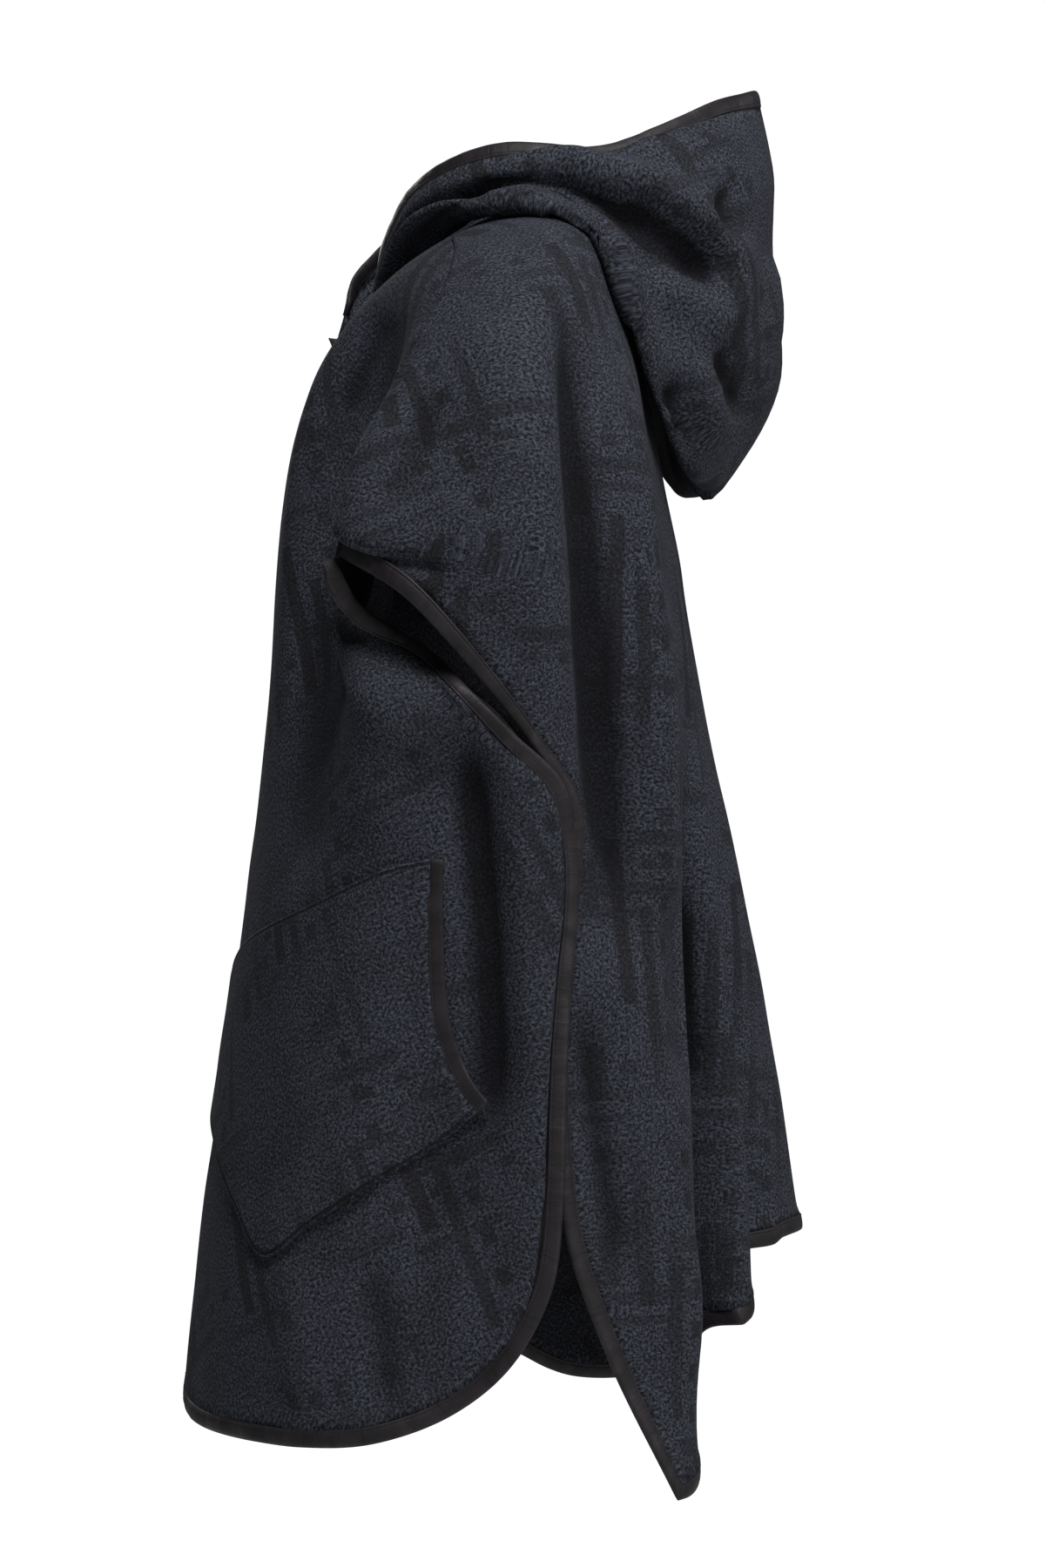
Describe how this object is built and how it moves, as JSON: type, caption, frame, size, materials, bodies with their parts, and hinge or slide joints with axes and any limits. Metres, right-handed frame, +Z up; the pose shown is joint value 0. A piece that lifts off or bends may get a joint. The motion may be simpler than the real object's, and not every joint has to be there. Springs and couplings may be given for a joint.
{
  "type": "hooded poncho vest",
  "caption": "Hollow zipped poncho vest with a hood lying down the back, bound armholes, side vents, patch pockets and a swinging pull tab at the throat.",
  "frame": {"origin": "where the wearer carries it: between the shoulders at the base of the neck", "axes": "the garment faces -Y, the wearer's left is +X, +Z is up"},
  "size_m": [0.613, 0.4233, 0.9255],
  "materials": {
    "knit": "matt napped double-faced knit, dark navy with tonal broken plaid",
    "satin": "dark warm-grey binding with a soft satin sheen",
    "tape": "black woven zip tape",
    "metal": "dark nickel slider and pull tab"
  },
  "bodies": {
    "garment": {"front_left": "knit", "front_right": "knit", "back_panel": "knit", "hood_left": "knit", "hood_right": "knit", "pocket_left": "knit", "pocket_right": "knit", "front_binding_left": "satin", "front_binding_right": "satin", "back_binding": "satin", "hood_binding": "satin", "pocket_binding_left": "satin", "pocket_binding_right": "satin", "zip_guard": "satin", "zip_tape": "tape", "zip_slider": "metal"},
    "pull": {"zip_pull": "metal"}
  },
  "joints": [
    {"name": "pull_hinge", "type": "hinge", "parent": "garment", "child": "pull", "pos_m": [0, -0.12907, -0.08238], "axis": [-1, 0, 0], "range_deg": [0, 120]}
  ]
}
